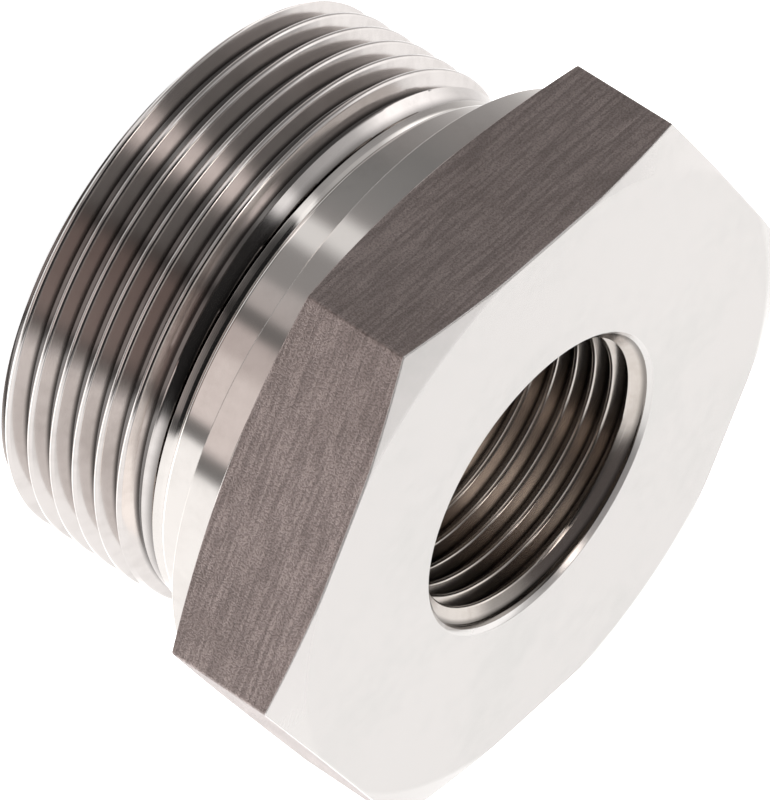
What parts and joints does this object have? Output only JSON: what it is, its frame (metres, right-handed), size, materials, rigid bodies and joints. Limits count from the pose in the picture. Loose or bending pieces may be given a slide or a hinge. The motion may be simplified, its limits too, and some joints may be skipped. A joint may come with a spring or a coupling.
{
  "type": "hex bushing",
  "caption": "Hexagon reducing bushing with a male parallel pipe thread, a sealing collar and a female thread through its middle.",
  "frame": {"origin": "middle of the male end face, on the thread axis", "axes": "+Z along the axis from the male end to the hexagon's front face; two hexagon corners lie on the X axis, so two flats face +Y and -Y"},
  "size_m": [0.0636, 0.055, 0.036],
  "materials": {
    "stainless": "turned, with drawn bar flats"
  },
  "bodies": {
    "root": {"hex_bushing": "stainless"}
  },
  "joints": []
}
